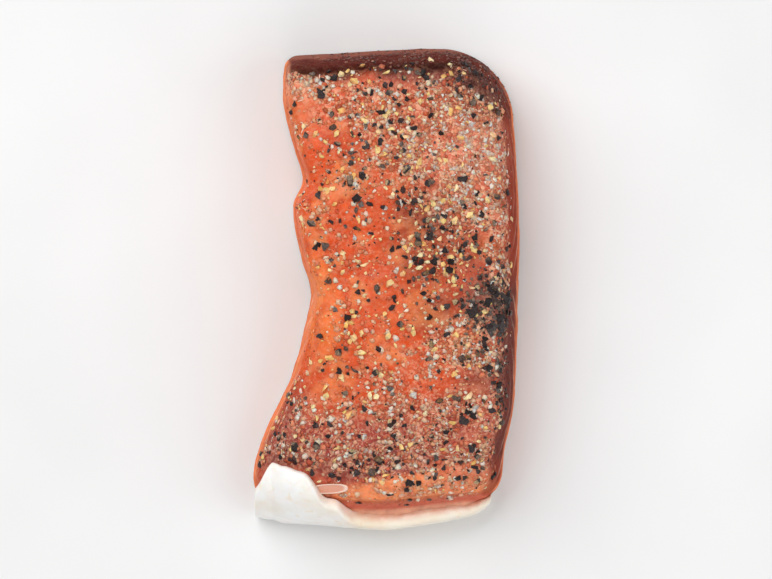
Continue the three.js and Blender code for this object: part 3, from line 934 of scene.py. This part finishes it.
def chip_template(rng, corners, wide, flat):
    """A broken chip: one angular block, and for half of them a smaller one grown into its side.
    Its core runs from 0 to 1 across it, in a direction of its own."""
    shape = np.array([1, wide, flat])
    points, faces = hull_of(ball_points(rng, corners, 0.82, 1.08) * shape)
    if rng.random() < 0.5:
        angle = rng.uniform(0, math.tau)
        aside = np.array([math.cos(angle), math.sin(angle) * wide, rng.uniform(-0.1, 0.3) * flat]) * 0.45
        more, extra = hull_of(ball_points(rng, corners, 0.5, 0.75) * shape + aside)
        faces = np.vstack([faces, extra + len(points)])
        points = np.vstack([points, more])
    lean = rng.normal(size=3) * [1, 1, 0.4] + [0, 0, 0.9]
    across = points @ unit(lean)
    return points, faces, np.clip(0.5 + 0.55 * across / np.abs(across).max(), 0, 1)


def crumb_template(rng):
    """A small lump: a ball of 20 sides with each corner drawn in or out. Its core is its height."""
    body = bmesh.new()
    bmesh.ops.create_icosphere(body, subdivisions=1, radius=1)
    points = np.array([v.co[:] for v in body.verts])
    faces = np.array([[v.index for v in face.verts] for face in body.faces])
    body.free()
    points = points * (0.7 + 0.6 * rng.random((len(points), 1))) * [1, rng.uniform(0.6, 1), 1]
    return points, faces, np.clip(0.5 + 0.5 * points[:, 2], 0, 1)


def frames(normals, rng, tilt):
    """A turning for each normal: z along it, spun at random and tipped by up to `tilt` radians."""
    up = unit(normals + rng.normal(size=normals.shape) * tilt)
    side = unit(np.cross(up, rng.normal(size=up.shape)))
    return np.stack([side, np.cross(up, side), up], -1)


def lay_grains(name, templates, places, normals, halves, height, sink, rng, material, tilt=0.22,
               smooth=False):
    """All grains of one kind as one mesh, each pressed into the surface by a share of its height."""
    turning = frames(normals, rng, tilt)
    kind = rng.integers(0, len(templates), len(places))
    shade = rng.random(len(places))
    tall = halves * height * rng.uniform(0.75, 1.2, len(places))
    scales = np.column_stack([halves, halves, tall])
    centres = places + normals * (tall * (1 - 2 * sink))[:, None]
    under = flesh_tones(places, np.zeros(len(places)), np.zeros(len(places)))
    points, faces, picks, cores, tones = [], [], [], [], []
    count = 0
    for number, (corners, triangles, core) in enumerate(templates):
        own = kind == number
        sized = corners * scales[own][:, None]
        points.append((np.einsum("gij,gpj->gpi", turning[own], sized) + centres[own][:, None]).reshape(-1, 3))
        starts = count + np.arange(own.sum()) * len(corners)
        faces.append((triangles + starts[:, None, None]).reshape(-1, 3))
        picks.append(np.repeat(shade[own], len(corners)))
        cores.append(np.tile(core, own.sum()))
        tones.append(np.repeat(under[own], len(corners), axis=0))
        count += own.sum() * len(corners)
    put_piece(name, np.vstack(points), np.vstack(faces), material, "flesh", smooth=smooth,
              pick=np.concatenate(picks), core=np.concatenate(cores), tone=np.vstack(tones))


def lay_fibres(name, ground, places, rng, material):
    """Short whitish fibres that lie on the surface, each a thin bent thread."""
    sides, steps = 5, 5
    angles = np.arange(sides) * math.tau / sides
    tops = grid_faces(steps, sides, closed=True)
    points, faces = [], []
    for k, start in enumerate(places):
        heading = rng.uniform(0, math.tau)
        bend = rng.normal() * 0.16
        run = rng.uniform(0.5, 1.7) / (steps - 1)
        radius = rng.uniform(0.08, 0.17)
        x, y = start[:2]
        for step in range(steps):
            place, normal = ground.below(x, y)
            along = np.array([math.cos(heading), math.sin(heading), 0.0])
            side = np.cross(normal, along)
            thick = radius * (1 - 0.7 * (2 * step / (steps - 1) - 1) ** 2)
            middle = place + normal * radius * 0.9
            ring = np.cos(angles)[:, None] * side + np.sin(angles)[:, None] * normal
            points.append(middle + thick * ring)
            y = y + along[1] * run
            x = max(x + along[0] * run, float(left_side(y)) + FIBRE_EDGE)
            heading += bend
        faces.append(tops + k * steps * sides)
    put_piece(name, np.vstack(points), np.vstack(faces), material, "flesh")


def grain_shader(name, roughness, *tones, bump=None, **settings):
    """A shader for one kind of grain, and the tone that each grain picks for itself."""
    s = Shader(name, **settings)
    s.roughen(*roughness)
    if bump:
        s.grain(*bump)
    return s, s.ramp(s.attribute("pick"), *tones)


def uneven_core(s, size, share):
    """Each grain's core, from 0 to 1 across it, with an uneven border."""
    return s.math("ADD", s.attribute("core"), s.product(s.noise(size, 2), share))


def plain_grains(*settings, **more):
    """Grains of one tone each."""
    s, tone = grain_shader(*settings, **more)
    s.set("Base Color", tone)
    return s.material


def pepper_material():
    s, dark = grain_shader(
        "black_pepper", (0.5, 0.36, 0.62), (0.0, (24, 14, 14)), (0.4, (36, 24, 24)), (0.62, (54, 44, 43)),
        (0.74, (50, 20, 17)), (0.84, (84, 66, 54)), (0.92, (98, 90, 86)), (1.0, (30, 20, 20)),
        bump=(0.28, 3, 0.09, 0.9), IOR=1.45, Specular_IOR_Level=0.35)
    s.set("Base Color", s.times(dark, s.ramp(s.noise(0.4, 3), (0.4, 0.55), (0.7, 1.9))))
    return s.material


def husk_material():
    """Broken peppercorns: pale meal inside a dark husk."""
    s, meal = grain_shader(
        "broken_peppercorn", (0.5, 0.42, 0.66), (0.0, (150, 124, 100)), (0.3, (112, 96, 84)),
        (0.5, (188, 160, 120)), (0.7, (112, 78, 36)), (0.8, (132, 110, 92)), (1.0, (98, 84, 76)),
        bump=(0.3, 3, 0.08, 0.9), IOR=1.45, Specular_IOR_Level=0.35)
    meal = s.times(meal, s.ramp(s.noise(0.4, 3), (0.38, 0.5), (0.62, 1.15)))
    husk = s.ramp(s.noise(0.4, 2), (0.3, (30, 25, 25)), (0.7, (62, 54, 50)))
    s.set("Base Color", s.mix(s.ramp(uneven_core(s, 0.7, 0.5), (0.72, 0.0), (0.84, 1.0)), husk, meal))
    return s.material


def garlic_material():
    s, cream = grain_shader(
        "garlic", (0.5, 0.34, 0.5), (0.0, (244, 208, 138)), (0.25, (237, 184, 98)), (0.5, (248, 228, 178)),
        (0.7, (232, 168, 88)), (0.85, (244, 208, 138)), (1.0, (240, 194, 148)), bump=(0.4, 3, 0.08, 0.7),
        soft=(0.4, 0.0008, (1.0, 0.6, 0.3)), coat=(0.25, 0.2), IOR=1.42)
    cream = s.times(cream, s.ramp(s.noise(0.6, 3), (0.35, 0.8), (0.65, 1.1)))
    foot = s.ramp(uneven_core(s, 0.7, 0.5), (0.35, 0.35), (0.8, 1.0))
    s.set("Base Color", s.mix(foot, s.attribute("tone", "Color"), cream))
    return s.material


def granule_material():
    """Pale granules whose wet flanks take on the colour of the flesh."""
    s, pale = grain_shader(
        "pale_granules", (0.4, 0.28, 0.46), (0.0, (238, 132, 96)), (0.22, (247, 164, 124)),
        (0.42, (252, 198, 166)), (0.6, (242, 148, 114)), (0.8, (255, 234, 218)), (1.0, (252, 212, 182)),
        bump=(0.3, 2, 0.05, 0.6), soft=(0.6, 0.0014, (1.0, 0.4, 0.24)), coat=(0.1,), IOR=1.38,
        Specular_IOR_Level=0.3)
    foot = s.ramp(uneven_core(s, 0.5, 0.4), (0.7, 0.1), (1.15, 0.85))
    s.set("Base Color", s.mix(foot, s.attribute("tone", "Color"), pale))
    return s.material


def crumb_material():
    s, pink = grain_shader(
        "flesh_crumbs", (0.5, 0.26, 0.42), (0.0, (208, 101, 68)), (0.3, (223, 125, 90)),
        (0.55, (192, 78, 52)), (0.8, (232, 145, 110)), (1.0, (210, 98, 56)), bump=(0.35, 2, 0.05, 0.6),
        soft=(0.5, 0.0012, (1.0, 0.32, 0.18)), coat=(0.1,), IOR=1.38, Specular_IOR_Level=0.3)
    foot = s.ramp(s.attribute("core"), (0.55, 0.1), (0.95, 0.9))
    s.set("Base Color", s.mix(foot, s.attribute("tone", "Color"), pink))
    return s.material


def fibre_material():
    s = Shader("pale_fibres", (0.4, 0.0006), (0.2,), IOR=1.38)
    s.set("Base Color", s.ramp(s.noise(2.5, 2), (0.35, (230, 170, 140)), (0.65, (244, 208, 184))))
    s.roughen(0.5, 0.3, 0.5)
    return s.material


def gravel_material():
    return plain_grains(
        "pepper_gravel", (0.5, 0.4, 0.65), (0.0, (58, 46, 44)), (0.3, (96, 82, 76)), (0.5, (34, 26, 26)),
        (0.7, (140, 116, 98)), (0.85, (76, 62, 58)), (1.0, (172, 140, 116)), IOR=1.45, Specular_IOR_Level=0.3)


def paste_material():
    return plain_grains(
        "spice_paste", (0.5, 0.35, 0.6), (0.0, (70, 32, 28)), (0.4, (112, 60, 48)), (0.6, (48, 24, 22)),
        (0.8, (138, 84, 68)), (0.94, (88, 44, 36)), (1.0, (188, 144, 116)), coat=(0.15,), IOR=1.42,
        Specular_IOR_Level=0.35)


def dust_material():
    return plain_grains(
        "pepper_dust", (0.4, 0.4, 0.6), (0.0, (26, 19, 19)), (0.5, (52, 30, 24)), (0.8, (104, 56, 34)),
        (1.0, (36, 28, 28)), IOR=1.45, Specular_IOR_Level=0.35)


# Where each kind of grain lies thickest: centre, half sizes and extra share over the even layer
HEAP = (25, -2.5), (6, 7)
PEPPER_PATCHES = [((25, -3), (6.5, 7.5), 1.2), ((28, -26), (4, 10), 2.8), ((4, -41), (20, 2.5), 1.6),
                  ((12, 12), (11, 9), 1.2), ((14, -27), (12, 6), 0.2), ((4, 51), (22, 4), 0.8),
                  ((-14, -32), (13, 8), -0.4), ((6, -34), (28, 5), -0.3)]
GARLIC_PATCHES = [((8, 36), (12, 11), 2.2), ((14, 8), (9, 14), 2.5), ((0, -35), (36, 10), -0.75),
                  ((-10, -12), (8, 12), 0.6)]
GRAVEL_PATCHES = [((24, -3), (7, 10), 3.0), ((28, -20), (3, 16), 2.0), ((12, 12), (10, 9), 0.8)]
CORNER_PATCHES = [((26, 52), (10, 9), 1.0), ((6, 56), (24, 3), 0.5)]
FIBRE_PATCHES = [((14, 32), (10, 12), 4.0), ((20, 22), (8, 14), 2.0), ((2, -30), (14, 5), 2.0),
                 ((-20, 34), (3, 16), 2.0)]

# The upper edge of the fold and the strip, by x; nothing is strewn under them
FOLD_EDGE = [(-31, -41.5), (-28, -41.5), (-25.7, -39.4), (-23.3, -40), (-18.9, -41.7), (-16.7, -43.9),
             (-15.5, -46.2), (-14.6, -47.2), (-10.5, -48.6), (-8, -50.4), (-6.8, -51), (0, -51.2), (10, -50),
             (20, -49)]

# The flakes that catch the eye: place, half length, and kind 0 pepper, 1 broken peppercorn, 2 garlic
LANDMARKS = [(-15.3, 40, 0.8, 0), (-14.7, 46.8, 0.95, 0), (-4.8, 46.7, 0.9, 1), (5, 45, 0.9, 0),
             (20.4, 41.2, 1.0, 0), (20.4, 44.4, 1.2, 1), (15.2, 42.5, 1.3, 2), (-7.4, 36.8, 1.1, 0),
             (-11, 34.7, 1.1, 1), (-4.3, 35.2, 0.85, 0), (-8.1, 26.2, 1.6, 1), (-6.9, 22.4, 1.7, 0),
             (4.7, 28.8, 1.2, 1), (6.6, 27, 1.3, 0), (-13.8, 23.7, 1.2, 2), (4.3, 20.9, 1.0, 0),
             (6.2, 18.8, 1.15, 0), (11, 20.8, 1.1, 2), (-6.8, 14.3, 1.4, 1), (-14, 11.2, 1.4, 0),
             (-12.7, 16.4, 0.9, 0), (14.9, 7.1, 1.35, 0), (10.9, 5.4, 1.3, 0), (0.9, 2.2, 1.25, 2),
             (-20.9, -36, 1.5, 0), (1.6, -33.6, 1.3, 0), (18.4, -29.6, 1.4, 0), (24.2, -17.6, 1.4, 0),
             (14.4, -3, 1.1, 0), (10, -5.5, 1.1, 0), (3.5, -7.2, 1.1, 1), (10.6, -11.7, 1.2, 1),
             (0.6, -10.1, 1.2, 2), (20.2, -4.3, 1.9, 0), (25.3, -1.6, 1.6, 0), (15.8, 16.7, 1.1, 0),
             (19.8, 18, 1.3, 2), (14, 5, 1.2, 2), (24.3, 7.4, 1.2, 0), (-6.6, -41.9, 1.2, 0),
             (0.3, -42.9, 1.3, 2), (-21, -33.5, 1.1, 2), (-17.2, -42, 1.1, 0), (-6.2, -49.2, 0.9, 1),
             (6.5, 38.5, 1.0, 0), (3.8, 34.6, 0.9, 0), (-15.8, 17, 0.8, 0), (-10.5, 16.8, 0.8, 0),
             (15.6, -30.3, 1.1, 2), (20.4, -39.5, 1.1, 2), (21.5, -41.6, 1.1, 0), (6.2, -44.8, 0.9, 0),
             (27.8, -1, 1.7, 0), (24, 1.2, 1.3, 0)]


def bare_share(centres, normals):
    """1 where grains can lie: not on steep places, at the left edge, under the fat or in the tongue."""
    x, y = centres[:, 0], centres[:, 1]
    (cx, cy), (long, wide), _ = TONGUE
    free = ease(0.9, 1.3, np.hypot((x - cx) / long, (y - cy) / wide))
    free = free * ease(0.5, 1.6, x - left_side(y)) * ease(0.4, 1.4, y - curve_at(FOLD_EDGE, x))
    return free * ease(0.25, 0.7, upright_share(x, normals))


def density_of(patches, smooth_share, end_share, even_share=1.0, pale_share=1.0):
    """A density that is even, thinner on the smooth band, the end band and the palest part, and thicker in
    patches."""
    def density(centres, normals):
        x, y = centres[:, 0], centres[:, 1]
        even = even_share * (1 - (1 - smooth_share) * ragged_band(centres, 2, 17))
        end = 1 - (1 - end_share) * ease(-42, -44.5, y)
        pale = 1 - (1 - pale_share) * ease(1.3, 0.7, np.hypot((x - 19) / 13, (y - 33) / 17))
        return ((even + patch_sum(x, y, patches)) * end * pale * clumps_at(centres)
                * bare_share(centres, normals) * ease(0.2, 2.5, uneven_margin(centres)))
    return density


def heap_density(centres, normals):
    """The heap of pepper beside the right edge."""
    (cx, cy), (rx, ry) = HEAP
    reach = np.hypot((centres[:, 0] - cx) / rx, (centres[:, 1] - cy) / ry)
    return ease(1.2, 0.3, reach) * ease(0.25, 0.7, normals[:, 2])


def corner_density(centres, normals):
    """The wet paste of spice on the far corner and the back slope."""
    x, y = centres[:, 0], centres[:, 1]
    return patch_sum(x, y, CORNER_PATCHES) * clumps_at(centres) * ease(0.05, 0.3, normals[:, 2])


def sizes(rng, count, low, high, power):
    return low + (high - low) * rng.random(count) ** power


def granule_density(centres, normals):
    free = 1 - 0.55 * heap_density(centres, normals)
    return granule_cover(centres) * clumps_at(centres) * bare_share(centres, normals) * free


def lip_density(centres, normals):
    return np.maximum(normals[:, 2] - 0.2, 0)


# The finest grains: name, count, density, half lengths as smallest, largest and power, height as a share of
# the half length, the share of it that is sunk, material, and whether they are smooth
FINE_GRAINS = [
    ("pale_granules", 4400, granule_density, (0.22, 0.95, 1.8), 0.28, 0.46, granule_material, True),
    ("flesh_crumbs", 2800, granule_density, (0.26, 0.95, 1.5), 0.26, 0.5, crumb_material, True),
    ("pepper_gravel", 620, density_of(GRAVEL_PATCHES, 0, 0, even_share=0.02), (0.14, 0.55, 1.5), 0.7, 0.35,
     gravel_material, False),
    ("spice_paste", 900, corner_density, (0.12, 0.5, 1.6), 0.5, 0.45, paste_material, False),
    ("pepper_dust", 1200, density_of(PEPPER_PATCHES, 0.7, 0.5), (0.07, 0.22, 1.7), 0.7, 0.3, dust_material,
     False),
]
DUST_ON_LIP = 26
FIBRES = 260


def make_flakes(ground, chips, lumps, rng):
    """The pepper, broken peppercorns and garlic: the solids' grains, the landmarks and many more."""
    solid = [ground.below(x, y) for x, y in solid_grain_places()]
    marks = [ground.below(x, y) for x, y, _, _ in LANDMARKS]
    places, normals = (np.array(values) for values in zip(*solid, *marks))
    largest, smallest = SOLID_GRAIN_SIZE
    halves = largest + (smallest - largest) * (np.arange(SOLID_GRAINS) / SOLID_GRAINS) ** 0.6
    halves = np.concatenate([halves, [half for _, _, half, _ in LANDMARKS]])
    kind = rng.choice(3, SOLID_GRAINS, p=(0.58, 0.14, 0.28))
    kind = np.concatenate([kind, [which for _, _, _, which in LANDMARKS]])
    taken = list(places)

    def gather(which, count, density, spread, spacing):
        extra, extra_normals = ground.scatter(count, density, rng, spacing, taken)
        taken.extend(extra)
        own = kind == which
        return (np.vstack([places[own], extra]), np.vstack([normals[own], extra_normals]),
                np.concatenate([halves[own], sizes(rng, len(extra), *spread)]))

    dense = density_of(PEPPER_PATCHES, 0.26, 0.3, pale_share=0.4)
    pepper = gather(0, 400, dense, (0.32, 1.3, 1.7), 1.1)
    heap = ground.scatter(28, heap_density, rng, 1.0, taken)
    heap = *heap, sizes(rng, len(heap[0]), 0.6, 1.8, 1.4)
    pepper = [np.concatenate(pair) for pair in zip(pepper, heap)]
    husk = gather(1, 90, density_of(PEPPER_PATCHES, 0.4, 0.3, pale_share=0.5), (0.4, 1.2, 1.4), 1.3)
    garlic = gather(2, 405, density_of(GARLIC_PATCHES, 0.4, 0.15, pale_share=0.4), (0.3, 1.25, 1.7), 1.0)
    lay_grains("black_pepper", chips, *pepper, 0.8, 0.38, rng, pepper_material(), tilt=0.14)
    lay_grains("broken_peppercorns", lumps, *husk, 0.8, 0.36, rng, husk_material(), tilt=0.15)
    lay_grains("garlic", lumps, *garlic, 0.7, 0.42, rng, garlic_material())


def make_grains(points, lip_points):
    rng = np.random.default_rng(SEED)
    ground = Ground(points)
    chips = [chip_template(rng, int(rng.integers(7, 11)), rng.uniform(0.6, 0.95), rng.uniform(0.4, 0.75))
             for _ in range(30)]
    lumps = [chip_template(rng, int(rng.integers(9, 14)), rng.uniform(0.6, 0.95), rng.uniform(0.5, 0.8))
             for _ in range(24)]
    crumbs = [crumb_template(rng) for _ in range(16)]
    make_flakes(ground, chips, lumps, rng)
    for name, count, density, spread, height, sink, material, smooth in FINE_GRAINS:
        laid = ground.scatter(count, density, rng)
        if name == "pepper_dust":
            bits = Ground(lip_points).scatter(DUST_ON_LIP, lip_density, rng)
            laid = [np.vstack(pair) for pair in zip(laid, bits)]
        lay_grains(name, crumbs, *laid, sizes(rng, len(laid[0]), *spread), height, sink, rng, material(),
                   smooth=smooth)
    laid, _ = ground.scatter(FIBRES, density_of(FIBRE_PATCHES, 0.02, 0, even_share=0.2), rng)
    lay_fibres("pale_fibres", ground, laid, rng, fibre_material())


# Stage

def make_stage():
    """A plain pale floor, soft studio light and a camera straight above the fillet."""
    bpy.ops.mesh.primitive_plane_add(size=3, location=(0, 0, 0))
    floor = bpy.context.object
    floor.name = "floor"
    paint = Shader("pale_floor", Roughness=0.6)
    paint.set("Base Color", paint.ramp(paint.noise(60, 2), (0.3, (226, 226, 226)), (0.7, (232, 232, 232))))
    floor.data.materials.append(paint.material)

    world = bpy.data.worlds.new("studio")
    bpy.context.scene.world = world
    world.use_nodes = True
    sky = world.node_tree.nodes["Background"].inputs
    sky["Color"].default_value = (1, 1, 1, 1)
    sky["Strength"].default_value = 0.34

    lamps = [("key", (-0.45, 0.5, 0.75), 9), ("fill", (0.7, -0.2, 0.6), 3.6),
             ("front", (0.1, -0.8, 0.5), 2.2)]
    for name, place, power in lamps:
        lamp = bpy.data.lights.new(name, "AREA")
        lamp.size = 0.9
        lamp.energy = power
        light = bpy.data.objects.new(name, lamp)
        light.location = place
        light.rotation_euler = (-Vector(place)).to_track_quat("-Z", "Y").to_euler()
        bpy.context.scene.collection.objects.link(light)

    low, high = CAD_BOX
    camera = bpy.data.objects.new("camera", bpy.data.cameras.new("camera"))
    bpy.context.scene.collection.objects.link(camera)
    shown = (high.y - low.y) / FILLET_SHARE * PICTURE[0] / PICTURE[1]
    camera.data.sensor_width = 36
    camera.data.lens = 36 * (CAMERA_HEIGHT - high.z) / shown
    camera.data.clip_start, camera.data.clip_end = 0.05, 10
    camera.location = ((low.x + high.x) / 2, (low.y + high.y) / 2, CAMERA_HEIGHT)
    bpy.context.scene.camera = camera
    bpy.context.scene.view_settings.view_transform = "Standard"


flesh_points = make_flesh()
lip_points = make_lip()
make_tongue()
make_skin()
make_grains(flesh_points, lip_points)
make_stage()
